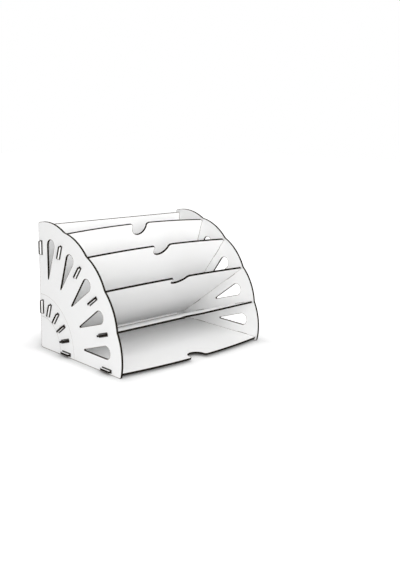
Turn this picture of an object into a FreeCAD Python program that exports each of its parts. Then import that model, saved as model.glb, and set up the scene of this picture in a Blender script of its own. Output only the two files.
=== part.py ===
import FreeCAD, Part
import math
import os
import Sketcher

# A fan-shaped paper and envelope sorter for a desk, cut from thin laminated board and
# pushed together without screws.  Two quarter-round side panels stand on their lower edges.
# A base, four dividers and a back panel spread between them like the ribs of a fan, all
# aimed at one hub line low at the rear.  Each cross panel ends in two tabs per side, which
# pass through mortises in the side panels and stand proud of them.
#
# Frame of the part: X across the width, front toward -Y, Z up, origin under the middle.

doc = FreeCAD.newDocument("fan_sorter")

# ---------------------------------------------------------------- sizes, in millimetres
SIZES = {
    # board and overall size
    "board": 3.2,             # thickness of the laminated board
    "outer_width": 312.0,     # over the outer faces of the side panels
    "compartments": 5,        # spaces of the fan between base and back
    "hub_back": 7.3,          # from the hub line to the rear edges of the side panels
    "hub_up": 5.4,            # from the hub line to their lower edges
    # scalloped rim of the side panels
    "cusp_reach": 210.5,      # from the hub line to the valleys between the scallops
    "scallop_radius": 95.5,
    "valley_blend": 12.0,     # rounding of those valleys
    "corner_round": 3.5,      # rounding of the outer corners
    # teardrop piercings, one per compartment in each side panel
    "pierce_rim": 34.7,       # from the valleys in to the centre of the round end
    "pierce_long": 56.5,      # between the centres of the round end and of the tip
    "pierce_end": 10.2,       # radius of the round end
    "pierce_tip": 1.0,        # radius of the tip
    # tabs of the cross panels and the mortises that take them
    "tab_long": 22.8,
    "tab_proud": 5.0,         # how far a tab stands out of the side panel
    "tab_round": 1.8,         # rounding of its free corners
    "tab_near": 67.0,         # hub line to the middle of the near tab
    "tab_rim": 35.4,          # from the valleys in to the middle of the far tab
    "back_tab_rim": 42.9,     # the same on the back panel
    "fit": 0.1,               # clearance of a tab in its mortise, each side
    # cross panels
    "front_recess": 2.7,      # ends of a bowed front edge, behind the valleys
    "divider_bow": 6.0,       # how far that edge swells at mid width on a divider
    "base_bow": 12.0,         # and on the base
    "front_round": 5.0,       # rounding of its ends
    "near_reach": 24.0,       # hub line to the near edge of a divider
    "near_round": 3.0,        # rounding of the corners at that edge
    "back_recess": 5.5,       # top edge of the back panel, below the valleys
    "back_round": 3.0,        # rounding of its top corners
    # finger notch in the middle of each bowed edge
    "notch_radius": 15.2,
    "notch_inset": 6.2,       # from the bowed edge in to the centre of the notch
    "notch_blend": 5.5,       # rounding of its shoulders
}

sheet = doc.addObject("Spreadsheet::Sheet", "sizes")
for row, (alias, value) in enumerate(SIZES.items(), start=1):
    sheet.set(f"A{row}", alias)
    sheet.set(f"B{row}", str(value))
    sheet.setAlias(f"B{row}", alias)
doc.recompute()


def size(alias):
    """A size as a number, read from the sheet."""
    return float(sheet.get(alias))


PITCH = 90.0 / size("compartments")
EDGE_TOLERANCE = 0.01

# Expressions that several pieces share, so that what meets stays together.
PITCH_EXPR = "90 deg / sizes.compartments"
HALF_INNER = "(sizes.outer_width / 2 - sizes.board)"
TAB_TIP = "(sizes.outer_width / 2 + sizes.tab_proud)"
TAB_FAR = "(sizes.cusp_reach - sizes.tab_rim)"
BACK_TAB_FAR = "(sizes.cusp_reach - sizes.back_tab_rim)"
FRONT_END = "(sizes.cusp_reach - sizes.front_recess)"


# ---------------------------------------------------------------- helpers
def origin_feature(body, role):
    for feature in body.Origin.OriginFeatures:
        if feature.Role == role:
            return feature
    raise RuntimeError(f"{body.Name} has no {role}")


def evaluate(expression):
    """The value that an expression on the sheet has now, as a plain number."""
    value = sheet.evalExpression(expression)
    return float(getattr(value, "Value", value))


def new_sketch(body, name, role):
    sketch = body.newObject("Sketcher::SketchObject", name)
    sketch.AttachmentSupport = [(origin_feature(body, role), "")]
    sketch.MapMode = "FlatFace"
    return sketch


def front_middle(bow):
    """Expression for the reach of a bowed front edge at mid width."""
    return f"({FRONT_END} + {bow})"


def bind(sketch, constraint, name, expression):
    """Add a dimension to a sketch and tie it to the sheet."""
    index = sketch.addConstraint(constraint)
    sketch.renameConstraint(index, name)
    sketch.setExpression(f"Constraints.{name}", expression)


def pin(sketch, label, geometry, end, across, along):
    """Fix one point of a sketch at two expressions measured from the hub line."""
    bind(sketch, Sketcher.Constraint("DistanceX", -1, 1, geometry, end, evaluate(across)),
         label + "_across", across)
    bind(sketch, Sketcher.Constraint("DistanceY", -1, 1, geometry, end, evaluate(along)),
         label + "_along", along)


def close_loop(sketch, loop):
    """Join the end of each element of a loop to the start of the next one."""
    for here, after in zip(loop, loop[1:] + loop[:1]):
        sketch.addConstraint(Sketcher.Constraint("Coincident", here, 2, after, 1))


def add_rectangle(sketch, label, left, right, low, high):
    """A rectangle between four expressions."""
    x0, x1, y0, y1 = (evaluate(text) for text in (left, right, low, high))
    corners = [FreeCAD.Vector(x0, y0), FreeCAD.Vector(x1, y0),
               FreeCAD.Vector(x1, y1), FreeCAD.Vector(x0, y1)]
    sides = []
    for start, end in zip(corners, corners[1:] + corners[:1]):
        sides.append(sketch.addGeometry(Part.LineSegment(start, end), False))
    close_loop(sketch, sides)
    for side, kind in zip(sides, ("Horizontal", "Vertical", "Horizontal", "Vertical")):
        sketch.addConstraint(Sketcher.Constraint(kind, side))
    pin(sketch, label + "_first", sides[0], 1, left, low)
    pin(sketch, label + "_second", sides[2], 1, right, high)


def pad(body, sketch, name, symmetric):
    feature = body.newObject("PartDesign::Pad", name)
    feature.Profile = sketch
    feature.setExpression("Length", "sizes.board")
    feature.SideType = "Symmetric" if symmetric else "One side"
    sketch.Visibility = False
    doc.recompute()
    return feature


def pocket_through(body, sketch, name, symmetric):
    """Cut a sketch through the board and make sure that it took material away."""
    before = body.Shape.Volume
    feature = body.newObject("PartDesign::Pocket", name)
    feature.Profile = sketch
    feature.Type = "ThroughAll"
    feature.SideType = "Symmetric" if symmetric else "One side"
    feature.Reversed = not symmetric
    sketch.Visibility = False
    doc.recompute()
    if body.Shape.Volume >= before:
        raise RuntimeError(f"{name} cuts nothing")
    return feature


def round_edges(body, name, points, direction, radius):
    """Round the edges that run across the board through the given points."""
    base = body.Tip
    chosen = []
    for number, edge in enumerate(base.Shape.Edges, start=1):
        if not isinstance(edge.Curve, Part.Line):
            continue
        if abs(abs(edge.Curve.Direction.dot(direction)) - 1.0) > 1e-6:
            continue
        start = edge.Vertexes[0].Point
        for point in points:
            off = start - point
            off = off - direction * off.dot(direction)
            if off.Length < EDGE_TOLERANCE:
                chosen.append(f"Edge{number}")
                break
    if len(chosen) != len(points):
        raise RuntimeError(f"{name}: {len(chosen)} edges found for {len(points)} points")
    feature = body.newObject("PartDesign::Fillet", name)
    feature.Base = (base, chosen)
    feature.setExpression("Radius", radius)
    doc.recompute()
    return feature


def on_fan(reach, angle):
    """Sketch point of a side panel at a distance from the hub line, angle up from the front."""
    turn = math.radians(angle)
    return FreeCAD.Vector(-reach * math.cos(turn), reach * math.sin(turn), 0.0)


# ---------------------------------------------------------------- side panels
def draw_rim(sketch):
    """Outline of a side panel: straight rear and lower edges and a scalloped rim.

    Returns the corners to be rounded: rear bottom, front bottom and rear top.
    """
    count = int(size("compartments"))
    reach = size("cusp_reach")
    radius = size("scallop_radius")
    rear = size("hub_back")
    low = -size("hub_up")

    # Spokes of construction from the hub to the valleys, one pitch apart.
    spokes = []
    for step in range(count + 1):
        tip = on_fan(reach, PITCH * step)
        spoke = sketch.addGeometry(Part.LineSegment(FreeCAD.Vector(), tip), True)
        sketch.addConstraint(Sketcher.Constraint("Coincident", spoke, 1, -1, 1))
        bind(sketch, Sketcher.Constraint("Distance", spoke, reach),
             f"reach_{step}", "sizes.cusp_reach")
        if step == 0:
            sketch.addConstraint(Sketcher.Constraint("Horizontal", spoke))
        else:
            bind(sketch, Sketcher.Constraint("Angle", spoke, 1, spokes[-1], 1,
                                             math.radians(PITCH)),
                 f"pitch_{step}", PITCH_EXPR)
        spokes.append(spoke)

    # One arc per compartment, bulging away from the hub.  The first runs on down to the
    # lower edge and the last runs on back to the rear edge.
    half_chord = reach * math.sin(math.radians(PITCH / 2))
    centre_reach = (reach * math.cos(math.radians(PITCH / 2))
                    - math.sqrt(radius ** 2 - half_chord ** 2))
    first_centre = on_fan(centre_reach, PITCH / 2)
    last_centre = on_fan(centre_reach, 90.0 - PITCH / 2)
    front = first_centre.x - math.sqrt(radius ** 2 - (low - first_centre.y) ** 2)
    top = last_centre.y + math.sqrt(radius ** 2 - (rear - last_centre.x) ** 2)
    front_bottom = FreeCAD.Vector(front, low, 0.0)
    rear_top = FreeCAD.Vector(rear, top, 0.0)
    rear_bottom = FreeCAD.Vector(rear, low, 0.0)

    # Arcs of a circle run counter-clockwise, so the loop is walked from the rear top
    # corner forward and down to the lower edge.
    arcs = []
    for step in reversed(range(count)):
        centre = on_fan(centre_reach, PITCH * (step + 0.5))
        start = rear_top if step == count - 1 else on_fan(reach, PITCH * (step + 1))
        end = front_bottom if step == 0 else on_fan(reach, PITCH * step)
        middle = centre + on_fan(radius, PITCH * (step + 0.5))
        arcs.append(sketch.addGeometry(Part.Arc(start, middle, end), False))
        bind(sketch, Sketcher.Constraint("Radius", arcs[-1], radius),
             f"scallop_{step}", "sizes.scallop_radius")
        if end != front_bottom:
            sketch.addConstraint(Sketcher.Constraint("Coincident", arcs[-1], 2, spokes[step], 2))
    sketch.addConstraint(Sketcher.Constraint("PointOnObject", spokes[0], 2, arcs[-1]))
    sketch.addConstraint(Sketcher.Constraint("PointOnObject", spokes[-1], 2, arcs[0]))
    bottom_edge = sketch.addGeometry(Part.LineSegment(front_bottom, rear_bottom), False)
    rear_edge = sketch.addGeometry(Part.LineSegment(rear_bottom, rear_top), False)
    sketch.addConstraint(Sketcher.Constraint("Horizontal", bottom_edge))
    sketch.addConstraint(Sketcher.Constraint("Vertical", rear_edge))
    pin(sketch, "heel", bottom_edge, 2, "sizes.hub_back", "-sizes.hub_up")
    close_loop(sketch, arcs + [bottom_edge, rear_edge])
    return [rear_bottom, front_bottom, rear_top]


def draw_teardrop(sketch):
    """Piercing of the first compartment: a small and a large arc joined by two tangents."""
    far = size("cusp_reach") - size("pierce_rim")
    near = far - size("pierce_long")
    end_radius = size("pierce_end")
    tip_radius = size("pierce_tip")
    middle_angle = PITCH / 2
    lean = math.degrees(math.asin((end_radius - tip_radius) / size("pierce_long")))

    def at(reach, radius, angle):
        """Point of a circle on the middle line, angle from the outward direction."""
        return on_fan(reach, middle_angle) + on_fan(radius, middle_angle + angle)

    axis = sketch.addGeometry(Part.LineSegment(FreeCAD.Vector(), on_fan(far, middle_angle)), True)
    sketch.addConstraint(Sketcher.Constraint("Coincident", axis, 1, -1, 1))
    bind(sketch, Sketcher.Constraint("Distance", axis, far),
         "far_reach", "sizes.cusp_reach - sizes.pierce_rim")
    side = 90.0 + lean
    round_end = sketch.addGeometry(
        Part.Arc(at(far, end_radius, side), at(far, end_radius, 0.0),
                 at(far, end_radius, -side)), False)
    tip = sketch.addGeometry(
        Part.Arc(at(near, tip_radius, -side), at(near, tip_radius, 180.0),
                 at(near, tip_radius, side)), False)
    lower = sketch.addGeometry(
        Part.LineSegment(at(far, end_radius, -side), at(near, tip_radius, -side)), False)
    upper = sketch.addGeometry(
        Part.LineSegment(at(near, tip_radius, side), at(far, end_radius, side)), False)
    sketch.addConstraint(Sketcher.Constraint("Coincident", round_end, 3, axis, 2))
    sketch.addConstraint(Sketcher.Constraint("PointOnObject", tip, 3, axis))
    for here, here_end, there, there_end in ((round_end, 2, lower, 1), (lower, 2, tip, 1),
                                             (tip, 2, upper, 1), (upper, 2, round_end, 1)):
        sketch.addConstraint(Sketcher.Constraint("Tangent", here, here_end, there, there_end))
    bind(sketch, Sketcher.Constraint("Radius", round_end, end_radius),
         "end_radius", "sizes.pierce_end")
    bind(sketch, Sketcher.Constraint("Radius", tip, tip_radius), "tip_radius", "sizes.pierce_tip")
    bind(sketch, Sketcher.Constraint("Distance", tip, 3, round_end, 3, far - near),
         "between_centres", "sizes.pierce_long")
    bind(sketch, Sketcher.Constraint("Angle", axis, 1, -1, 2, math.radians(middle_angle)),
         "middle_angle", PITCH_EXPR + " / 2")


def draw_mortise(sketch, label, middle, upright):
    """A slot for one tab, its length along a rib of the fan that lies flat or stands up."""
    half_long = "(sizes.tab_long / 2 + sizes.fit)"
    half_thick = "(sizes.board / 2 + sizes.fit)"
    if upright:
        add_rectangle(sketch, label, f"-{half_thick}", half_thick,
                      f"{middle} - {half_long}", f"{middle} + {half_long}")
    else:
        add_rectangle(sketch, label, f"-{middle} - {half_long}", f"-{middle} + {half_long}",
                      f"-{half_thick}", half_thick)


def pattern_round_hub(body, feature, name):
    """Repeat a cut at every compartment, one pitch apart round the hub line."""
    before = body.Shape.Volume
    pattern = body.newObject("PartDesign::PolarPattern", name)
    pattern.Originals = [feature]
    pattern.Axis = (origin_feature(body, "X_Axis"), [""])
    pattern.Reversed = True
    pattern.setExpression("Occurrences", "sizes.compartments")
    pattern.setExpression("Angle", "90 deg - " + PITCH_EXPR)
    body.Tip = pattern
    doc.recompute()
    if body.Shape.Volume >= before:
        raise RuntimeError(f"{name} cuts nothing")
    return pattern


def side_panel(name, place):
    """One quarter-round side panel, its hub line on the body's own X axis."""
    body = doc.addObject("PartDesign::Body", name)
    body.Label = name
    rim = new_sketch(body, name + "_rim", "YZ_Plane")
    corners = draw_rim(rim)
    pad(body, rim, name + "_board", symmetric=False)

    across = FreeCAD.Vector(1, 0, 0)
    turned = [FreeCAD.Vector(0, corner.x, corner.y) for corner in corners]
    round_edges(body, name + "_corners", turned, across, "sizes.corner_round")
    valleys = []
    for step in range(1, int(size("compartments"))):
        point = on_fan(size("cusp_reach"), PITCH * step)
        valleys.append(FreeCAD.Vector(0, point.x, point.y))
    round_edges(body, name + "_valleys", valleys, across, "sizes.valley_blend")

    teardrop = new_sketch(body, name + "_teardrop", "YZ_Plane")
    draw_teardrop(teardrop)
    pierced = pocket_through(body, teardrop, name + "_piercing", symmetric=False)
    pattern_round_hub(body, pierced, name + "_piercings")

    slots = new_sketch(body, name + "_slots", "YZ_Plane")
    draw_mortise(slots, "near", "sizes.tab_near", upright=False)
    draw_mortise(slots, "far", TAB_FAR, upright=False)
    mortise = pocket_through(body, slots, name + "_mortise", symmetric=False)
    pattern_round_hub(body, mortise, name + "_mortises")

    back_slots = new_sketch(body, name + "_back_slots", "YZ_Plane")
    draw_mortise(back_slots, "near", "sizes.tab_near", upright=True)
    draw_mortise(back_slots, "far", BACK_TAB_FAR, upright=True)
    pocket_through(body, back_slots, name + "_back_mortise", symmetric=False)

    body.setExpression("Placement.Base.x", place)
    body.setExpression("Placement.Base.y", HUB_Y)
    body.setExpression("Placement.Base.z", "sizes.hub_up")
    return body


# ---------------------------------------------------------------- cross panels
def draw_tab_strips(sketch, middles):
    """Strips across the whole panel whose ends are the tabs, one strip per pair of tabs."""
    for label, middle in middles.items():
        add_rectangle(sketch, label, "-" + TAB_TIP, TAB_TIP,
                      f"-{middle} - sizes.tab_long / 2", f"-{middle} + sizes.tab_long / 2")


def draw_bowed_blank(sketch, near_edge, bow):
    """Panel between the side panels, its front edge swelling gently at mid width."""
    half = evaluate(HALF_INNER)
    end = evaluate(FRONT_END)
    middle = evaluate(front_middle(bow))
    near = evaluate(near_edge)
    rear_left = FreeCAD.Vector(-half, near, 0.0)
    rear_right = FreeCAD.Vector(half, near, 0.0)
    front_right = FreeCAD.Vector(half, -end, 0.0)
    front_left = FreeCAD.Vector(-half, -end, 0.0)
    front = sketch.addGeometry(Part.Arc(front_left, FreeCAD.Vector(0, -middle, 0), front_right), False)
    right = sketch.addGeometry(Part.LineSegment(front_right, rear_right), False)
    rear = sketch.addGeometry(Part.LineSegment(rear_right, rear_left), False)
    left = sketch.addGeometry(Part.LineSegment(rear_left, front_left), False)
    close_loop(sketch, [front, right, rear, left])
    sketch.addConstraint(Sketcher.Constraint("Vertical", right))
    sketch.addConstraint(Sketcher.Constraint("Vertical", left))
    sketch.addConstraint(Sketcher.Constraint("Horizontal", rear))
    pin(sketch, "front_left", front, 1, "-" + HALF_INNER, "-" + FRONT_END)
    pin(sketch, "rear_right", right, 2, HALF_INNER, near_edge)
    bind(sketch, Sketcher.Constraint("DistanceY", -1, 1, right, 1, -end), "front_right_along",
         "-" + FRONT_END)
    crest = sketch.addGeometry(Part.Point(FreeCAD.Vector(0, -middle, 0)), True)
    pin(sketch, "crest", crest, 1, "0 mm", "-" + front_middle(bow))
    sketch.addConstraint(Sketcher.Constraint("PointOnObject", crest, 1, front))


def draw_notch(sketch, bow):
    """Round finger notch whose centre lies a little inside the bowed edge."""
    centre = f"-{front_middle(bow)} + sizes.notch_inset"
    circle = sketch.addGeometry(
        Part.Circle(FreeCAD.Vector(0, evaluate(centre), 0), FreeCAD.Vector(0, 0, 1),
                    size("notch_radius")), False)
    pin(sketch, "centre", circle, 3, "0 mm", centre)
    bind(sketch, Sketcher.Constraint("Radius", circle, size("notch_radius")),
         "radius", "sizes.notch_radius")


def notch_mouth(bow):
    """The two points where the notch circle crosses the bowed front edge."""
    half = evaluate(HALF_INNER)
    swell = evaluate(bow)
    bow_radius = (half ** 2 + swell ** 2) / (2 * swell)
    crest = -evaluate(front_middle(bow))
    bow_centre = crest + bow_radius
    notch_centre = crest + size("notch_inset")
    apart = bow_centre - notch_centre
    notch_radius = size("notch_radius")
    down = (apart ** 2 + bow_radius ** 2 - notch_radius ** 2) / (2 * apart)
    out = math.sqrt(bow_radius ** 2 - down ** 2)
    return [FreeCAD.Vector(side * out, bow_centre - down, 0.0) for side in (-1, 1)]


def tab_corners(middles):
    tip = evaluate(TAB_TIP)
    half_long = size("tab_long") / 2
    corners = []
    for middle in middles.values():
        for side in (-1, 1):
            for end in (-1, 1):
                corners.append(FreeCAD.Vector(side * tip, -evaluate(middle) + end * half_long, 0))
    return corners


def place_cross_panel(body, angle):
    """Turn a cross panel up round the hub line: flat at 0 degrees, upright at 90."""
    body.Placement = FreeCAD.Placement(
        FreeCAD.Vector(), FreeCAD.Rotation(FreeCAD.Vector(1, 0, 0), -angle))
    body.setExpression("Placement.Base.y", HUB_Y)
    body.setExpression("Placement.Base.z", "sizes.hub_up")


def bowed_panel(name, angle, near_edge, bow):
    """A base or divider: bowed front edge, finger notch and two tabs at each end."""
    upward = FreeCAD.Vector(0, 0, 1)
    half = evaluate(HALF_INNER)
    end = evaluate(FRONT_END)
    near = evaluate(near_edge)
    middles = {"near_tabs": "sizes.tab_near", "far_tabs": TAB_FAR}
    body = doc.addObject("PartDesign::Body", name)
    body.Label = name
    blank = new_sketch(body, name + "_blank", "XY_Plane")
    draw_bowed_blank(blank, near_edge, bow)
    pad(body, blank, name + "_board", symmetric=True)
    strips = new_sketch(body, name + "_strips", "XY_Plane")
    draw_tab_strips(strips, middles)
    pad(body, strips, name + "_tabs", symmetric=True)
    notch = new_sketch(body, name + "_notch", "XY_Plane")
    draw_notch(notch, bow)
    pocket_through(body, notch, name + "_finger_notch", symmetric=True)
    round_edges(body, name + "_notch_shoulders", notch_mouth(bow), upward, "sizes.notch_blend")
    round_edges(body, name + "_tab_corners", tab_corners(middles), upward, "sizes.tab_round")
    front = [FreeCAD.Vector(side * half, -end, 0) for side in (-1, 1)]
    round_edges(body, name + "_front_corners", front, upward, "sizes.front_round")
    rear = [FreeCAD.Vector(side * half, near, 0) for side in (-1, 1)]
    round_edges(body, name + "_near_corners", rear, upward, "sizes.near_round")
    place_cross_panel(body, angle)
    return body


def back_panel(name):
    """The upright back: a plain rectangle that stands on the base, with its own tabs."""
    upward = FreeCAD.Vector(0, 0, 1)
    half = evaluate(HALF_INNER)
    top_edge = "(sizes.cusp_reach - sizes.back_recess)"
    middles = {"near_tabs": "sizes.tab_near", "far_tabs": BACK_TAB_FAR}
    body = doc.addObject("PartDesign::Body", name)
    body.Label = name
    blank = new_sketch(body, name + "_blank", "XY_Plane")
    add_rectangle(blank, "blank", "-" + HALF_INNER, HALF_INNER, "-" + top_edge,
                  "-sizes.board / 2")
    pad(body, blank, name + "_board", symmetric=True)
    strips = new_sketch(body, name + "_strips", "XY_Plane")
    draw_tab_strips(strips, middles)
    pad(body, strips, name + "_tabs", symmetric=True)
    round_edges(body, name + "_tab_corners", tab_corners(middles), upward, "sizes.tab_round")
    top = [FreeCAD.Vector(side * half, -evaluate(top_edge), 0) for side in (-1, 1)]
    round_edges(body, name + "_top_corners", top, upward, "sizes.back_round")
    place_cross_panel(body, 90.0)
    return body


# ---------------------------------------------------------------- assembly
# The hub line lies behind the middle of the depth, so that the origin of the part is
# under the middle of the space that it takes.  The bowed base reaches furthest forward.
HUB_Y = f"({front_middle('sizes.base_bow')} - sizes.hub_back) / 2"

pieces = [
    side_panel("side_panel_left", "-sizes.outer_width / 2"),
    side_panel("side_panel_right", "sizes.outer_width / 2 - sizes.board"),
    bowed_panel("base_panel", 0.0, "sizes.board / 2", "sizes.base_bow"),
]
dividers = int(size("compartments")) - 1
for number in range(1, dividers + 1):
    pieces.append(bowed_panel(f"divider_{number}", PITCH * number, "-sizes.near_reach",
                              "sizes.divider_bow"))
pieces.append(back_panel("back_panel"))
doc.recompute()

# ---------------------------------------------------------------- checks and files
for item in doc.Objects:
    if "Invalid" in item.State or "Error" in item.State:
        raise RuntimeError(f"{item.Name} failed: {item.State}")
for piece in pieces:
    if piece.Shape.isNull() or not piece.Shape.isValid() or len(piece.Shape.Solids) != 1:
        raise RuntimeError(f"{piece.Label} is not one sound solid")

os.makedirs("parts", exist_ok=True)
for piece in pieces:
    piece.Shape.exportStep(f"parts/{piece.Label}.step")
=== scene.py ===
import cmath
import math

import bpy
import numpy as np
from mathutils import Matrix, Vector
from mathutils.geometry import delaunay_2d_cdt


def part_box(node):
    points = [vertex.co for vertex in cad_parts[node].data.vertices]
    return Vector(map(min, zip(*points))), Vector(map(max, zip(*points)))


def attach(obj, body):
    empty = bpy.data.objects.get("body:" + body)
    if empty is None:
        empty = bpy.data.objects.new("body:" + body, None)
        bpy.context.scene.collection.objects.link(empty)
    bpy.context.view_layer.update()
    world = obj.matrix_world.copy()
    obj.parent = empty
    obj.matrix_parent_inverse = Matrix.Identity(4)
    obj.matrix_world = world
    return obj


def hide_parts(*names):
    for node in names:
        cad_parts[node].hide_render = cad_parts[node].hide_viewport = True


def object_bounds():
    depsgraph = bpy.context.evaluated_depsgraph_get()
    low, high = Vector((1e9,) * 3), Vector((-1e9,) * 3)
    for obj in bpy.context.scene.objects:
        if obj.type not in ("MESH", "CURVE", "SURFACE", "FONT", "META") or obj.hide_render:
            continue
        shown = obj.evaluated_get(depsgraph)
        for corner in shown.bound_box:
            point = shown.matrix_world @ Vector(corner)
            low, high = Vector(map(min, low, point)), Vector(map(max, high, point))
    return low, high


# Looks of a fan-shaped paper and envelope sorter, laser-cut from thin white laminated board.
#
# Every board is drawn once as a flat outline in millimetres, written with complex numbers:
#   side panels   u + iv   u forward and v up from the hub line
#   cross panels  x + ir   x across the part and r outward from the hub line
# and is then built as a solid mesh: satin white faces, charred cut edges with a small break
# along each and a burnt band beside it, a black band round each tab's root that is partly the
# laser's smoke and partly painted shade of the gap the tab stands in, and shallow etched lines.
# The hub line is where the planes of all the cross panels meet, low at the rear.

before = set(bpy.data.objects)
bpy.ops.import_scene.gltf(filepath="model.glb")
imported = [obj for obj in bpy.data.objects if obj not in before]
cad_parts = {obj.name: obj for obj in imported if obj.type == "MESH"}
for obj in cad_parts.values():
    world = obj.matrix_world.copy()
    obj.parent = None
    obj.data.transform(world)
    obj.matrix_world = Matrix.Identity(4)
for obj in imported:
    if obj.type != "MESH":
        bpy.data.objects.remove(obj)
cad_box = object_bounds()

MM = 0.001


# ---------------------------------------------------------------- sizes, in millimetres
def node_box(node):
    low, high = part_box(node)
    return low / MM, high / MM


base_low, base_high = node_box("base_panel")
back_low, back_high = node_box("back_panel")
side_low, side_high = node_box("side_panel_right")

# Read from the frame.
BOARD = base_high.z - base_low.z          # thickness of the laminated board
HUB_Y = (back_low.y + back_high.y) / 2
HUB_Z = (base_low.z + base_high.z) / 2
HUB_BACK = side_high.y - HUB_Y            # hub line to the rear edges of the side panels
HUB_UP = HUB_Z - side_low.z               # and to their lower edges
INNER_HALF = side_low.x                   # middle of the part to the inside of a side panel
OUTER_HALF = side_high.x
TAB_TIP = base_high.x                     # middle of the part to the ends of the tabs

# The fan, with the same values as the solids.
COMPARTMENTS = 5
PITCH = 90.0 / COMPARTMENTS               # degrees
CUSP_REACH = 210.5                        # hub line to the valleys of the rim
SCALLOP_RADIUS = 95.5
VALLEY_BLEND = 12.0
CORNER_ROUND = 3.5

PIERCE_FAR = CUSP_REACH - 34.7            # hub line to the centre of a teardrop's round end
PIERCE_NEAR = PIERCE_FAR - 56.5           # and to the centre of its tip
PIERCE_END = 10.2                         # radii of the two
PIERCE_TIP = 1.0

TAB_LONG = 22.8
TAB_ROUND = 1.8
FIT = 0.1                                 # clearance of a tab in its mortise, each side
TAB_NEAR = 67.0                           # hub line to the middles of the tabs
TAB_FAR = CUSP_REACH - 35.4
BACK_TAB_FAR = CUSP_REACH - 42.9

FRONT_END = CUSP_REACH - 2.7              # hub line to the ends of a bowed front edge
DIVIDER_BOW = 6.0                         # how far that edge swells at mid width on a divider
BASE_BOW = 12.0                           # and on the base
FRONT_ROUND = 5.0
NEAR_REACH = 24.0                         # hub line to the near edge of a divider
NEAR_ROUND = 3.0
NOTCH_RADIUS = 15.2
NOTCH_INSET = 6.2                         # its centre, in from the middle of the bowed edge
NOTCH_BLEND = 5.5
BACK_TOP = CUSP_REACH - 5.5
BACK_ROUND = 3.0

# Marks of the laser, which only the looks have.
BEVEL = 0.15                              # charred break of every cut edge
BREAK_LIMIT = 1.5 * BEVEL                 # a triangle that stays nearer to a cut is in the break
SINGED = 0.55                             # from a cut to where its black band starts to fade
SINGE_ENDS = 0.8                          # and to where only a faint brown stain is left
STAIN_ENDS = 1.6                          # and to where the face is clean
RINGS = (0.0, BEVEL, SINGED, SINGE_ENDS, STAIN_ENDS)   # rows of vertices along every cut
SOOT_AND_SHADE_BESIDE = 1.5                         # smoke black and painted gap shade on the outer faces, beside a mortise
SOOT_AND_SHADE_ENDS = 0.5                           # and past its ends
SOOT_AND_SHADE_TAB = 1.5                            # and on the faces of a tab, out from the side panel
SOOT_AND_SHADE_FADE = 0.4                           # over which it thins out to nothing
SOOT_AND_SHADE_STARTS = 1.5                         # it starts this far inside the outer face
SOOT_AND_SHADE_FULL = 0.5                           # and is full from here
SOOT_AND_SHADE_STOPS = (OUTER_HALF - SOOT_AND_SHADE_STARTS, OUTER_HALF - SOOT_AND_SHADE_FULL, OUTER_HALF + SOOT_AND_SHADE_TAB,
              OUTER_HALF + SOOT_AND_SHADE_TAB + SOOT_AND_SHADE_FADE)
ETCH_RADII = (88.3, 49.7)                 # thin arcs round the hub line on the outer faces
ETCH_HALF = 0.3                           # half width of such a groove at its mouth
ETCH_FLOOR = 0.2                          # and at its floor
ETCH_DEPTH = 0.12
ETCH_OVERRUN = 12.0                       # degrees that it is drawn past the quarter, each end

# Fineness of the meshes.
SAGITTA = 0.01                            # most that a chord stands off its arc
LONGEST_STEP = 4.0                        # along an outline
FILL_STEP = 8.0                           # between the vertices inside a face
FILL_MARGIN = 2.0                         # from those to the last ring
TINY = 1e-4
CHUNK = 500                               # points measured at a time
SHARP_ANGLE = math.radians(30)            # edges that turn more than this look sharp

MAP_NAME = "board"                        # flat on the faces, length by thickness on the cuts
SCORCH_NAME = "scorch"                    # 1 on a cut edge and fading to 0 beside it
SOOT_AND_SHADE_NAME = "soot_and_shade"                        # 1 in the black round a tab's root: the laser's smoke and painted shade of its gap
LAMINATE_SLOT, CHAR_SLOT, ETCH_SLOT = range(3)


# ---------------------------------------------------------------- flat outlines
def arc(centre, start, end, turn):
    """Points from start to end round a centre, turn +1 counter-clockwise or -1 clockwise."""
    sweep = turn * (turn * cmath.phase((end - centre) / (start - centre)) % math.tau)
    radius = abs(start - centre)
    step = min(LONGEST_STEP, math.sqrt(8 * radius * SAGITTA))
    count = max(2, math.ceil(abs(sweep) * radius / step))
    return [centre + (start - centre) * cmath.rect(1, sweep * i / count) for i in range(count + 1)]


def spread(loop):
    """A closed loop with its long steps divided evenly."""
    points = []
    for start, end in zip(loop, loop[1:] + loop[:1]):
        count = max(1, math.ceil(abs(end - start) / LONGEST_STEP))
        points += [start + (end - start) * i / count for i in range(count)]
    return np.array(points)


class Straight:
    """A straight stretch of an outline, walked with the board on its left."""

    def __init__(self, point, heading):
        self.point = point
        self.heading = heading

    def shifted(self, left):
        return Straight(self.point + left * 1j * self.heading, self.heading)

    def foot(self, point):
        """The point of the line nearest to a given one."""
        return self.point + self.heading * ((point - self.point) * self.heading.conjugate()).real

    def walk(self, start, end):
        return [start, end]


class Round:
    """A round stretch of an outline, walked with the board on its left."""

    def __init__(self, centre, radius, turn):
        self.centre = centre
        self.radius = radius
        self.turn = turn

    def shifted(self, left):
        return Round(self.centre, self.radius - self.turn * left, self.turn)

    def foot(self, point):
        """The point of the circle nearest to a given one."""
        return self.centre + self.radius * (point - self.centre) / abs(point - self.centre)

    def walk(self, start, end):
        return arc(self.centre, start, end, self.turn)


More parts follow.
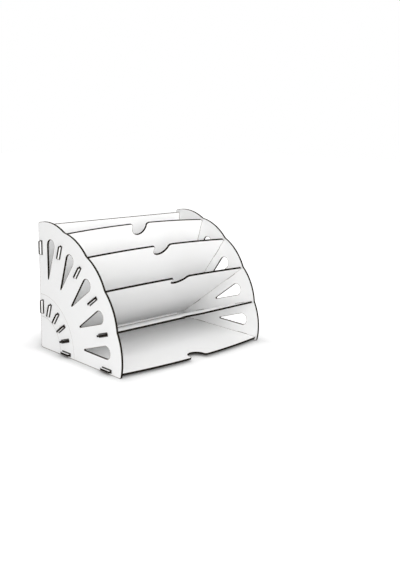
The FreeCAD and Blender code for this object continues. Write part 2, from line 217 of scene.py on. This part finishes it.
def crossing(first, second, near):
    """Where two stretches cross, and of two such points the one nearest to a given place."""
    if isinstance(second, Straight):
        first, second = second, first
    if isinstance(second, Straight):
        apart = (second.point - first.point).conjugate() * second.heading
        along = apart.imag / (first.heading.conjugate() * second.heading).imag
        return first.point + along * first.heading
    if isinstance(first, Straight):
        foot = first.foot(second.centre)
        half = math.sqrt(second.radius ** 2 - abs(second.centre - foot) ** 2)
        found = [foot + side * half * first.heading for side in (-1, 1)]
    else:
        apart = second.centre - first.centre
        gap = abs(apart)
        along = (first.radius ** 2 - second.radius ** 2 + gap ** 2) / (2 * gap)
        half = math.sqrt(first.radius ** 2 - along ** 2)
        found = [first.centre + complex(along, side * half) * apart / gap for side in (-1, 1)]
    return min(found, key=lambda point: abs(point - near))


def outline(stretches):
    """A closed loop of points from (stretch, rounding, place), in walking order.

    The rounding is that of the corner where the stretch ends: above 0 at an outer corner,
    below 0 at an inner one, and 0 where it is sharp.  The place is near that corner.
    """
    corners = []
    for (stretch, rounding, place), (after, _, _) in zip(stretches, stretches[1:] + stretches[:1]):
        centre = crossing(stretch.shifted(rounding), after.shifted(rounding), place)
        corners.append((centre, stretch.foot(centre), after.foot(centre)))
    points = []
    for (stretch, rounding, _), before, here in zip(stretches, corners[-1:] + corners[:-1], corners):
        centre, bend_start, bend_end = here
        points += stretch.walk(before[2], bend_start)[:-1]
        if rounding:
            points += arc(centre, bend_start, bend_end, math.copysign(1, rounding))[:-1]
        else:
            points.append(centre)
    loop = [point for point, last in zip(points, points[-1:] + points[:-1]) if abs(point - last) > TINY]
    return spread(loop)


def fan(reach, angle):
    """Point of a side panel at a distance from the hub line, angle up from the front."""
    return cmath.rect(reach, math.radians(angle))


def rim():
    """A side panel: straight rear and lower edges and a scalloped rim."""
    half_pitch = math.radians(PITCH / 2)
    half_chord = CUSP_REACH * math.sin(half_pitch)
    centre_reach = (CUSP_REACH * math.cos(half_pitch)
                    - math.sqrt(SCALLOP_RADIUS ** 2 - half_chord ** 2))
    stretches = [(Straight(-1j * HUB_UP, 1), CORNER_ROUND, fan(CUSP_REACH, 0))]
    for step in range(1, COMPARTMENTS + 1):
        scallop = Round(fan(centre_reach, PITCH * (step - 0.5)), SCALLOP_RADIUS, 1)
        rounding = CORNER_ROUND if step == COMPARTMENTS else -VALLEY_BLEND
        stretches.append((scallop, rounding, fan(CUSP_REACH, PITCH * step)))
    stretches.append((Straight(-HUB_BACK, -1j), CORNER_ROUND, None))
    return outline(stretches)


def teardrop(angle):
    """Piercing along a rib of the fan, walked clockwise to have the board on its left."""
    side = 90 + math.degrees(math.asin((PIERCE_END - PIERCE_TIP) / (PIERCE_FAR - PIERCE_NEAR)))
    points = []
    for reach, radius, start in ((PIERCE_FAR, PIERCE_END, side), (PIERCE_NEAR, PIERCE_TIP, -side)):
        centre = fan(reach, angle)
        points += arc(centre, centre + fan(radius, angle + start), centre + fan(radius, angle - start), -1)
    return spread(points)


def tab_places():
    """Distance from the hub line to the middle of each tab, and its angle."""
    places = [(reach, PITCH * step) for step in range(COMPARTMENTS) for reach in (TAB_NEAR, TAB_FAR)]
    return places + [(TAB_NEAR, 90), (BACK_TAB_FAR, 90)]


def tab_box(reach, angle, past_ends, beside):
    """A tab's cross section, larger by two margins, walked clockwise."""
    half_long = TAB_LONG / 2 + past_ends
    half_thick = BOARD / 2 + beside
    along = fan(1, angle)
    signs = [(-1, -1), (-1, 1), (1, 1), (1, -1)]
    return spread([along * complex(reach + far * half_long, over * half_thick)
                   for far, over in signs])


def side_holes():
    """The teardrops and mortises of a side panel."""
    teardrops = [teardrop(PITCH * (step + 0.5)) for step in range(COMPARTMENTS)]
    return teardrops + [tab_box(reach, angle, FIT, FIT) for reach, angle in tab_places()]


def flank(side, middles, rounding, place):
    """An end of a cross panel with its tabs, side +1 on the right and -1 on the left."""
    edge = Straight(side * INNER_HALF, side * 1j)
    tip = Straight(side * TAB_TIP, side * 1j)
    stretches = []
    for middle in middles[::side]:
        first = Straight(1j * (middle - side * TAB_LONG / 2), side)
        second = Straight(1j * (middle + side * TAB_LONG / 2), -side)
        stretches += [(edge, 0, None), (first, TAB_ROUND, None), (tip, TAB_ROUND, None),
                      (second, 0, None)]
    return stretches + [(edge, rounding, place)]


def bowed_outline(near_reach, swell):
    """The base or a divider: bowed front edge with a finger notch in its middle."""
    radius = (INNER_HALF ** 2 + swell ** 2) / (2 * swell)
    middle = 1j * (FRONT_END + swell)
    bow = Round(middle - 1j * radius, radius, 1)
    notch = Round(middle - 1j * NOTCH_INSET, NOTCH_RADIUS, -1)
    tabs = (TAB_NEAR, TAB_FAR)
    corner = complex(INNER_HALF, FRONT_END)
    return outline(
        [(Straight(1j * near_reach, 1), NEAR_ROUND, None)]
        + flank(1, tabs, FRONT_ROUND, corner)
        + [(bow, NOTCH_BLEND, middle + NOTCH_RADIUS),
           (notch, NOTCH_BLEND, middle - NOTCH_RADIUS),
           (bow, FRONT_ROUND, -corner.conjugate())]
        + flank(-1, tabs, NEAR_ROUND, None))


def back_outline():
    """The back panel: a plain rectangle that stands on the base."""
    tabs = (TAB_NEAR, BACK_TAB_FAR)
    return outline(
        [(Straight(1j * BOARD / 2, 1), 0, None)]
        + flank(1, tabs, BACK_ROUND, None)
        + [(Straight(1j * BACK_TOP, -1), BACK_ROUND, None)]
        + flank(-1, tabs, 0, None))


def etched_lines():
    """The lines along each etched groove: its two mouth edges and the two edges of its floor."""
    return [arc(0, fan(radius + offset, -ETCH_OVERRUN), fan(radius + offset, 90 + ETCH_OVERRUN), 1)
            for radius in ETCH_RADII
            for offset in (-ETCH_HALF, -ETCH_FLOOR, ETCH_FLOOR, ETCH_HALF)]


# ---------------------------------------------------------------- smoke black and painted gap shade round the tabs
def soot_and_shade_beside(points):
    """Smoke black and painted gap shade on a side panel's outer face, from 1 beside its mortises to 0."""
    level = np.zeros(len(points))
    for reach, angle in tab_places():
        place = points * fan(1, -angle) - reach
        past = abs(place.real) - (TAB_LONG / 2 + FIT + SOOT_AND_SHADE_ENDS)
        beside = abs(place.imag) - (BOARD / 2 + FIT + SOOT_AND_SHADE_BESIDE)
        level = np.maximum(level, np.clip(1 - np.maximum(past, beside) / SOOT_AND_SHADE_FADE, 0, 1))
    return level


def soot_and_shade_beside_lines():
    """Lines round each mortise where its smoke black and painted shade start to fade and where they end.
    """
    boxes = [tab_box(reach, angle, FIT + SOOT_AND_SHADE_ENDS + margin, FIT + SOOT_AND_SHADE_BESIDE + margin)
             for reach, angle in tab_places() for margin in (0, SOOT_AND_SHADE_FADE)]
    return [np.append(box, box[:1]) for box in boxes]


def soot_and_shade_on_tabs(points):
    """Smoke black and painted gap shade on a cross panel's faces, from 1 on the roots of its tabs to 0."""
    return np.interp(abs(points.real), SOOT_AND_SHADE_STOPS, (0, 1, 1, 0))


def soot_and_shade_on_tabs_lines():
    """Lines across the tabs where their smoke black and painted shade start, start to fade and end."""
    return [np.array([complex(side * stop, 0), complex(side * stop, CUSP_REACH)])
            for side in (-1, 1) for stop in SOOT_AND_SHADE_STOPS]


# ---------------------------------------------------------------- solid meshes
def inset(loop, distance):
    """A loop moved into the board, with mitred corners."""
    ahead = np.roll(loop, -1) - loop
    ahead /= abs(ahead)
    behind = np.roll(ahead, 1)
    return loop + distance * 1j * (ahead + behind) / (1 + (ahead * behind.conj()).real)


def steps_of(loops):
    """The starts and ends of all the steps of some loops."""
    return np.concatenate(loops), np.concatenate([np.roll(loop, -1) for loop in loops])


def cut_distance(points, loops):
    """How far each point is from the nearest cut edge."""
    starts, ends = steps_of(loops)
    steps = ends - starts
    nearest = []
    for some in np.array_split(points, len(points) // CHUNK + 1):
        away = some[:, None] - starts
        along = np.clip((away * steps.conj()).real / abs(steps) ** 2, 0, 1)
        nearest.append(abs(away - along * steps).min(1))
    return np.concatenate(nearest)


def on_board(points, loops):
    """Which points lie inside the outline and outside its holes."""
    starts, ends = steps_of(loops)
    inside = []
    for some in np.array_split(points, len(points) // CHUNK + 1):
        level = some.imag[:, None]
        spans = (starts.imag > level) != (ends.imag > level)
        rise = np.where(starts.imag == ends.imag, 1, ends.imag - starts.imag)
        reached = starts.real + (ends.real - starts.real) * (level - starts.imag) / rise
        inside.append((spans & (some.real[:, None] < reached)).sum(1) % 2 == 1)
    return np.concatenate(inside)


def etched(points, within):
    """Which points of a side panel lie near the middle line of an etched groove."""
    return np.any([abs(abs(points) - radius) < within for radius in ETCH_RADII], axis=0)


def fill_points(loops, is_side):
    """Vertices in even rows inside a face, clear of its cuts and grooves."""
    low = complex(loops[0].real.min(), loops[0].imag.min())
    high = complex(loops[0].real.max(), loops[0].imag.max())
    rows = np.arange(low.imag, high.imag, FILL_STEP * math.sqrt(3) / 2)
    points = np.concatenate([np.arange(low.real + FILL_STEP / 2 * (number % 2), high.real, FILL_STEP)
                             + 1j * row for number, row in enumerate(rows)])
    points = points[on_board(points, loops)]
    points = points[cut_distance(points, loops) > STAIN_ENDS + FILL_MARGIN]
    return points[~etched(points, FILL_MARGIN)] if is_side else points


def triangulate(loops, lines, is_side):
    """A board's flat vertices and triangles, with rows of vertices along its cuts and lines."""
    points = []
    edges = []
    rings = [inset(loop, distance) for loop in loops for distance in RINGS]
    for chain, closed in [(ring, 1) for ring in rings] + [(line, 0) for line in lines]:
        first = len(points)
        count = len(chain)
        points += list(chain)
        edges += [(first + i, first + (i + 1) % count) for i in range(count - 1 + closed)]
    points += list(fill_points(loops, is_side))
    corners = [Vector((point.real, point.imag)) for point in points]
    found, _, faces, *_ = delaunay_2d_cdt(corners, edges, [], 0, TINY, False)
    flat = np.array([complex(*corner) for corner in found])
    faces = np.array(faces)
    faces = faces[on_board(flat[faces].mean(1), loops)]
    used, faces = np.unique(faces, return_inverse=True)
    return flat[used], faces.reshape(-1, 3)


def cut_chains(faces):
    """The vertices along each cut, in order, with the board on the left."""
    edges = {(int(face[i]), int(face[i - 2])) for face in faces for i in range(3)}
    after = {start: end for start, end in sorted(edges) if (end, start) not in edges}
    chains = []
    while after:
        chain = [min(after)]
        while chain[-1] in after:
            chain.append(after.pop(chain[-1]))
        chains.append(chain)
    return chains


def board_mesh(name, loops, is_side):
    """A board as a closed mesh in millimetres, its thickness centred on its own plane."""
    lines = etched_lines() + soot_and_shade_beside_lines() if is_side else soot_and_shade_on_tabs_lines()
    flat, faces = triangulate(loops, lines, is_side)
    gap = cut_distance(flat, loops)
    count = len(flat)
    front = BOARD / 2 - BEVEL * (gap < BEVEL / 2)
    back = -front
    if is_side:
        front = front - ETCH_DEPTH * etched(flat, (ETCH_HALF + ETCH_FLOOR) / 2)
    vertices = np.column_stack([np.tile(flat.real, 2), np.tile(flat.imag, 2),
                                np.concatenate([front, back])])
    skins = np.concatenate([faces, faces[:, ::-1] + count])
    skin_maps = flat[np.concatenate([faces, faces[:, ::-1]])].ravel()

    walls = []
    wall_maps = []
    for chain in cut_chains(faces):
        along = 0.0
        for start, end in zip(chain, chain[1:]):
            ahead = along + abs(flat[end] - flat[start])
            walls.append((end, start, start + count, end + count))
            wall_maps += [complex(ahead, front[end]), complex(along, front[start]),
                          complex(along, back[start]), complex(ahead, back[end])]
            along = ahead

    mesh = bpy.data.meshes.new(name)
    mesh.from_pydata(vertices.tolist(), [], skins.tolist() + walls)
    skin_kinds = np.where(gap[faces].max(1) < BREAK_LIMIT, CHAR_SLOT, LAMINATE_SLOT)
    front_kinds = skin_kinds.copy()
    if is_side:
        front_kinds[etched(flat[faces].mean(1), ETCH_HALF)] = ETCH_SLOT
    kinds = np.concatenate([front_kinds, skin_kinds, np.full(len(walls), CHAR_SLOT)])
    mesh.polygons.foreach_set("material_index", kinds.astype(np.int32))

    places = np.concatenate([skin_maps, np.array(wall_maps)]) * MM
    layer = mesh.uv_layers.new(name=MAP_NAME)
    layer.uv.foreach_set("vector", np.column_stack([places.real, places.imag]).astype(np.float32).ravel())
    scorch = np.clip(1 - gap / STAIN_ENDS, 0, 1)
    # The black round the tabs: the laser's smoke together with painted shade of the gap round each tab.
    soot_and_shade = soot_and_shade_beside(flat) if is_side else soot_and_shade_on_tabs(flat)
    back_soot_and_shade = 0 * soot_and_shade if is_side else soot_and_shade
    for label, values in ((SCORCH_NAME, (scorch, scorch)), (SOOT_AND_SHADE_NAME, (soot_and_shade, back_soot_and_shade))):
        attribute = mesh.attributes.new(label, "FLOAT", "POINT")
        attribute.data.foreach_set("value", np.concatenate(values).astype(np.float32))
    return mesh


def side_place(side):
    """From a side panel's u, v and outward axes into the part's, side -1 on the left."""
    middle = side * (INNER_HALF + OUTER_HALF) / 2
    return Matrix(((0, 0, side, middle), (-1, 0, 0, HUB_Y), (0, 1, 0, HUB_Z), (0, 0, 0, 1)))


def cross_place(angle):
    """From a cross panel's x, r and downward axes into the part's, turned up by an angle."""
    cos, sin = math.cos(math.radians(angle)), math.sin(math.radians(angle))
    return Matrix(((1, 0, 0, 0), (0, -cos, -sin, HUB_Y), (0, sin, -cos, HUB_Z), (0, 0, 0, 1)))


def add_board(name, cad_node, loops, place, is_side=False):
    """Builds one board where its CAD node is, and lets it stand for that node."""
    mesh = board_mesh(name, loops, is_side)
    mesh.transform(Matrix.Scale(MM, 4) @ place)
    if place.determinant() < 0:
        mesh.flip_normals()
    mesh.set_sharp_from_angle(angle=SHARP_ANGLE)
    for material in FINISHES:
        mesh.materials.append(material)
    piece = bpy.data.objects.new(name, mesh)
    bpy.context.scene.collection.objects.link(piece)
    low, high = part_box(cad_node)
    places = np.array([vertex.co for vertex in mesh.vertices])
    off = max(abs(places.min(0) - np.array(low)).max(), abs(places.max(0) - np.array(high)).max())
    if off > BEVEL * MM:
        raise RuntimeError(f"{name} is {off / MM:.3f} mm off {cad_node}")
    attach(piece, "root")
    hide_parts(cad_node)


# ---------------------------------------------------------------- materials
WHITE_COOL = (0.912, 0.913, 0.914, 1)
WHITE_WARM = (0.906, 0.905, 0.900, 1)
SMOKE = (0.62, 0.50, 0.36, 1)
# The next black is the burnt band beside the cuts and, round the tabs, smoke with painted gap shade.
SOOT_AND_SHADE = (0.014, 0.010, 0.007, 1)
CHAR = (0.004, 0.0033, 0.0026, 1)
BROWN = (0.016, 0.011, 0.008, 1)
ETCH_DARK = (0.45, 0.42, 0.39, 1)
ETCH_PALE = (0.66, 0.64, 0.61, 1)

NOISE_SPAN = (0.3, 0.7)                   # where nearly all of a noise's values lie
ETCH_SPAN = (0.35, 0.65)                  # narrower spans give more contrast
BURN_SPAN = (0.38, 0.68)

# Sizes of the features, in millimetres.
CLOUD_SIZE = 70
SMUDGE_SIZE = 22
PATCH_SIZE = 2.5
GRAIN_SIZE = 0.6
WAVE_SIZE = 6
LINE_SIZE = 0.35
FIBRE_SIZE = 0.25
DOT_SIZE = 0.5
LINE_STRETCH = (1, 0.06, 1)               # draws the noise out across the thickness
WAVE_STRETCH = (1, 0.4, 1)

# Depths of the relief, in millimetres.
GRAIN_DEPTH = 0.004
CHAR_DEPTH = 0.05
DOT_DEPTH = 0.03

STAIN_PATCHES = (0.4, 1.0)                # how much of the stain is left, place by place
BURN_PATCHES = (0.94, 1.0)                # and of the black
STAIN_SPAN = (0.1, 0.7)                   # the stain colours over this span of its strength
STAIN_COLOUR = (0, 0.7)                   # from none to the most of it
LINE_SHARE = 0.6                          # of the fine lines in the char's colour
WAVE_SHARE = 0.4                          # and of the waves
FIBRE_SHARE = 0.5                         # of the fibres in its relief

LAMINATE_ROUGH = (0.40, 0.50)
BURNT_ROUGHER = 0.3                       # added where it is stained, burnt, or black with smoke and painted gap shade
CHAR_ROUGH = (0.7, 0.9)
ETCH_ROUGH = (0.75, 0.95)
CHAR_SPECULAR = 0.08


def new_material(name):
    """A material with a Principled surface: the material, its tree and that shader."""
    material = bpy.data.materials.new(name)
    material.use_nodes = True
    tree = material.node_tree
    return material, tree, tree.nodes["Principled BSDF"]


def node(tree, kind, inputs=None, **settings):
    """Adds a node. An input given as a socket is linked, and any other is set."""
    made = tree.nodes.new(kind)
    for key, value in settings.items():
        setattr(made, key, value)
    for key, value in (inputs or {}).items():
        if isinstance(value, bpy.types.NodeSocket):
            tree.links.new(value, made.inputs[key])
        else:
            made.inputs[key].default_value = value
    return made


def board_map(tree, stretch=(1, 1, 1)):
    """Places on the board in metres, multiplied by a stretch."""
    place = node(tree, "ShaderNodeUVMap", uv_map=MAP_NAME).outputs["UV"]
    return node(tree, "ShaderNodeVectorMath", {0: place, 1: stretch}, operation="MULTIPLY").outputs[0]


def noise(tree, place, size, detail=2.0, roughness=0.5):
    """Soft noise from 0 to 1 whose features are about size millimetres across."""
    inputs = {"Vector": place, "Scale": 1 / (size * MM), "Detail": detail, "Roughness": roughness}
    return node(tree, "ShaderNodeTexNoise", inputs).outputs["Fac"]


def scaled(tree, value, low, high, to_low, to_high):
    """A value's range low..high taken to another and held within it."""
    inputs = {"Value": value, "From Min": low, "From Max": high, "To Min": to_low, "To Max": to_high}
    return node(tree, "ShaderNodeMapRange", inputs, clamp=True).outputs["Result"]


def combined(tree, operation, first, second):
    return node(tree, "ShaderNodeMath", {0: first, 1: second}, operation=operation).outputs[0]


def blended(tree, factor, first, second):
    """Two colours mixed by a factor."""
    made = node(tree, "ShaderNodeMix", data_type="RGBA")
    for index, value in ((0, factor), (6, first), (7, second)):
        if isinstance(value, bpy.types.NodeSocket):
            tree.links.new(value, made.inputs[index])
        else:
            made.inputs[index].default_value = value
    return made.outputs[2]


def relief(tree, height, depth, shader):
    """Bump of a given depth in millimetres from a height of 0 to 1."""
    bump = node(tree, "ShaderNodeBump", {"Height": height, "Strength": 1.0, "Distance": depth * MM})
    tree.links.new(bump.outputs["Normal"], shader.inputs["Normal"])


def white_laminate():
    """Satin white laminate with faint clouds and a fine grain, burnt black beside the cuts, and black
    round the tabs' roots with smoke and painted gap shade.
    """
    material, tree, shader = new_material("white_laminate")
    place = board_map(tree)
    cloud = noise(tree, place, CLOUD_SIZE, detail=3)
    grain = noise(tree, place, GRAIN_SIZE, detail=2)
    smudge = noise(tree, place, SMUDGE_SIZE, detail=4, roughness=0.6)
    patchy = noise(tree, place, PATCH_SIZE, detail=3, roughness=0.65)
    scorch = node(tree, "ShaderNodeAttribute", attribute_name=SCORCH_NAME).outputs["Fac"]
    soot_and_shade = node(tree, "ShaderNodeAttribute", attribute_name=SOOT_AND_SHADE_NAME).outputs["Fac"]

    white = blended(tree, scaled(tree, cloud, *NOISE_SPAN, 0, 1), WHITE_COOL, WHITE_WARM)
    stain = combined(tree, "MULTIPLY", scorch, scaled(tree, patchy, *NOISE_SPAN, *STAIN_PATCHES))
    smoked = blended(tree, scaled(tree, stain, *STAIN_SPAN, *STAIN_COLOUR), white, SMOKE)
    singed = scaled(tree, scorch, 1 - SINGE_ENDS / STAIN_ENDS, 1 - SINGED / STAIN_ENDS, 0, 1)
    # The black is the burnt band beside every cut, and round each tab's root smoke with painted shade of
    # its gap.
    burnt = combined(tree, "MAXIMUM", singed, soot_and_shade)
    blackened = combined(tree, "MULTIPLY", burnt, scaled(tree, patchy, *NOISE_SPAN, *BURN_PATCHES))
    tree.links.new(blended(tree, blackened, smoked, SOOT_AND_SHADE), shader.inputs["Base Color"])
    marked = combined(tree, "MAXIMUM", stain, burnt)
    satin = combined(tree, "ADD", scaled(tree, smudge, *NOISE_SPAN, *LAMINATE_ROUGH),
                     combined(tree, "MULTIPLY", marked, BURNT_ROUGHER))
    tree.links.new(satin, shader.inputs["Roughness"])
    relief(tree, grain, GRAIN_DEPTH, shader)
    return material


def charred_edge():
    """Cut face of the fibreboard: near-black char with the laser's fine lines across it."""
    material, tree, shader = new_material("charred_edge")
    lines = noise(tree, board_map(tree, LINE_STRETCH), LINE_SIZE, detail=3, roughness=0.6)
    waves = noise(tree, board_map(tree, WAVE_STRETCH), WAVE_SIZE, detail=2)
    fibre = noise(tree, board_map(tree), FIBRE_SIZE, detail=2)
    burn = combined(tree, "ADD", combined(tree, "MULTIPLY", lines, LINE_SHARE),
                    combined(tree, "MULTIPLY", waves, WAVE_SHARE))
    colour = blended(tree, scaled(tree, burn, *BURN_SPAN, 0, 1), CHAR, BROWN)
    tree.links.new(colour, shader.inputs["Base Color"])
    shader.inputs["Specular IOR Level"].default_value = CHAR_SPECULAR
    tree.links.new(scaled(tree, fibre, *NOISE_SPAN, *CHAR_ROUGH), shader.inputs["Roughness"])
    height = combined(tree, "ADD", lines, combined(tree, "MULTIPLY", fibre, FIBRE_SHARE))
    relief(tree, height, CHAR_DEPTH, shader)
    return material


def etched_groove():
    """Floor of an etched line, where the white skin is burnt off the fibreboard."""
    material, tree, shader = new_material("etched_groove")
    dots = noise(tree, board_map(tree), DOT_SIZE, detail=3, roughness=0.6)
    colour = blended(tree, scaled(tree, dots, *ETCH_SPAN, 0, 1), ETCH_DARK, ETCH_PALE)
    tree.links.new(colour, shader.inputs["Base Color"])
    tree.links.new(scaled(tree, dots, *NOISE_SPAN, *ETCH_ROUGH), shader.inputs["Roughness"])
    relief(tree, dots, DOT_DEPTH, shader)
    return material


# ---------------------------------------------------------------- studio, in metres
FLOOR_HALF = 6.0
FLOOR_COLOUR = (0.82, 0.82, 0.82, 1)      # for the light that it throws back
FLOOR_SEEN = (0.97, 0.97, 0.97, 1)        # and as it is seen
FLOOR_PAINTED_SHADOW = (0.36, 0.36, 0.36, 1)        # and seen where the object stands close over it: a painted contact shadow
CONTACT_REACH = 0.025                     # how near counts as close
CONTACT_SAMPLES = 8
FLOOR_FADE = (0.0, 0.1)                   # distances from the object's box over which
FLOOR_LIFT = (0.02, 0.45)                 # the floor's glow rises to fade it into the backdrop
WORLD_LEVEL = 0.62
BACKDROP_LEVEL = 1.0
LAMP_TARGET = (0, 0, 0.1)
LAMP_WIDTH = 1.6
FRONT_PLACE = (-0.5, -1.6, 0.9)
FRONT_WATTS = 25.5
LEFT_PLACE = (-1.1, -1.5, 0.5)
LEFT_WATTS = 8.5
SENSOR_WIDTH = 36.0
CAMERA_PLACE = (-0.81946, -0.94375, 0.38575)
CAMERA_TURN = (77.427, -1.197, -44.285)   # degrees
CAMERA_LENS = 46.93
CLIP_START = 0.05
CLIP_END = 50


def seen_directly(tree):
    """1 for camera, glossy and transmission rays, and 0 for light that bounces off or falls."""
    path = node(tree, "ShaderNodeLightPath").outputs
    glossy = combined(tree, "MAXIMUM", path["Is Glossy Ray"], path["Is Transmission Ray"])
    return combined(tree, "MAXIMUM", path["Is Camera Ray"], glossy)


def distance_from_object(tree):
    """How far a place on the floor is from the object's bounding box."""
    high = cad_box[1]
    place = node(tree, "ShaderNodeNewGeometry").outputs["Position"]
    for operation, other in (("ABSOLUTE", (0, 0, 0)), ("SUBTRACT", (high.x, high.y, 0)),
                             ("MAXIMUM", (0, 0, 0))):
        inputs = {0: place, 1: other}
        place = node(tree, "ShaderNodeVectorMath", inputs, operation=operation).outputs[0]
    return node(tree, "ShaderNodeVectorMath", {0: place}, operation="LENGTH").outputs["Value"]


def add_floor():
    """A plain white floor that keeps the object's shadow and fades into the backdrop.

    Its contact shadow is deepened by ambient occlusion, as it is seen and not in its light.
    """
    half = FLOOR_HALF
    mesh = bpy.data.meshes.new("floor")
    mesh.from_pydata([(-half, -half, 0), (half, -half, 0), (half, half, 0), (-half, half, 0)],
                     [], [(0, 1, 2, 3)])
    material = bpy.data.materials.new("floor")
    material.use_nodes = True
    tree = material.node_tree
    tree.nodes.clear()
    paper = node(tree, "ShaderNodeBsdfDiffuse", {"Color": FLOOR_COLOUR})
    reach = {"Distance": CONTACT_REACH}
    around = node(tree, "ShaderNodeAmbientOcclusion", reach, samples=CONTACT_SAMPLES)
    seen = blended(tree, around.outputs["AO"], FLOOR_PAINTED_SHADOW, FLOOR_SEEN)
    bright = node(tree, "ShaderNodeBsdfDiffuse", {"Color": seen})
    glow = scaled(tree, distance_from_object(tree), *FLOOR_FADE, *FLOOR_LIFT)
    lift = node(tree, "ShaderNodeEmission", {"Color": (1, 1, 1, 1), "Strength": glow})
    both = node(tree, "ShaderNodeAddShader", {0: bright.outputs[0], 1: lift.outputs[0]})
    mix = node(tree, "ShaderNodeMixShader",
               {0: seen_directly(tree), 1: paper.outputs[0], 2: both.outputs[0]})
    node(tree, "ShaderNodeOutputMaterial", {"Surface": mix.outputs[0]})
    mesh.materials.append(material)
    floor = bpy.data.objects.new("floor", mesh)
    bpy.context.scene.collection.objects.link(floor)


def light_world():
    """Even white light from all round, in front of a white backdrop."""
    world = bpy.data.worlds.new("studio")
    bpy.context.scene.world = world
    world.use_nodes = True
    tree = world.node_tree
    tree.nodes.clear()
    light = node(tree, "ShaderNodeBackground", {"Color": (1, 1, 1, 1), "Strength": WORLD_LEVEL})
    white = node(tree, "ShaderNodeBackground", {"Color": (1, 1, 1, 1), "Strength": BACKDROP_LEVEL})
    mix = node(tree, "ShaderNodeMixShader",
               {0: seen_directly(tree), 1: light.outputs[0], 2: white.outputs[0]})
    node(tree, "ShaderNodeOutputWorld", {"Surface": mix.outputs[0]})


def add_lamp(name, place, watts):
    """A square soft box aimed at the object."""
    lamp = bpy.data.lights.new(name, "AREA")
    lamp.size = LAMP_WIDTH
    lamp.energy = watts
    holder = bpy.data.objects.new(name, lamp)
    bpy.context.scene.collection.objects.link(holder)
    holder.location = place
    holder.rotation_euler = (Vector(LAMP_TARGET) - Vector(place)).to_track_quat("-Z", "Y").to_euler()


def add_camera():
    camera = bpy.data.cameras.new("camera")
    camera.sensor_width = SENSOR_WIDTH
    camera.lens = CAMERA_LENS
    camera.clip_start = CLIP_START
    camera.clip_end = CLIP_END
    holder = bpy.data.objects.new("camera", camera)
    bpy.context.scene.collection.objects.link(holder)
    holder.location = CAMERA_PLACE
    holder.rotation_euler = [math.radians(turn) for turn in CAMERA_TURN]
    bpy.context.scene.camera = holder


# ---------------------------------------------------------------- the whole part
FINISHES = (white_laminate(), charred_edge(), etched_groove())
side_loops = [rim()] + side_holes()
add_board("left_side", "side_panel_left", side_loops, side_place(-1), is_side=True)
add_board("right_side", "side_panel_right", side_loops, side_place(1), is_side=True)
add_board("base", "base_panel", [bowed_outline(-BOARD / 2, BASE_BOW)], cross_place(0))
divider_outline = bowed_outline(NEAR_REACH, DIVIDER_BOW)
for number in range(1, COMPARTMENTS):
    add_board(f"divider_board_{number}", f"divider_{number}", [divider_outline],
              cross_place(PITCH * number))
add_board("back", "back_panel", [back_outline()], cross_place(90))

light_world()
add_floor()
add_lamp("front_box", FRONT_PLACE, FRONT_WATTS)
add_lamp("left_box", LEFT_PLACE, LEFT_WATTS)
add_camera()
bpy.context.scene.view_settings.view_transform = "Standard"
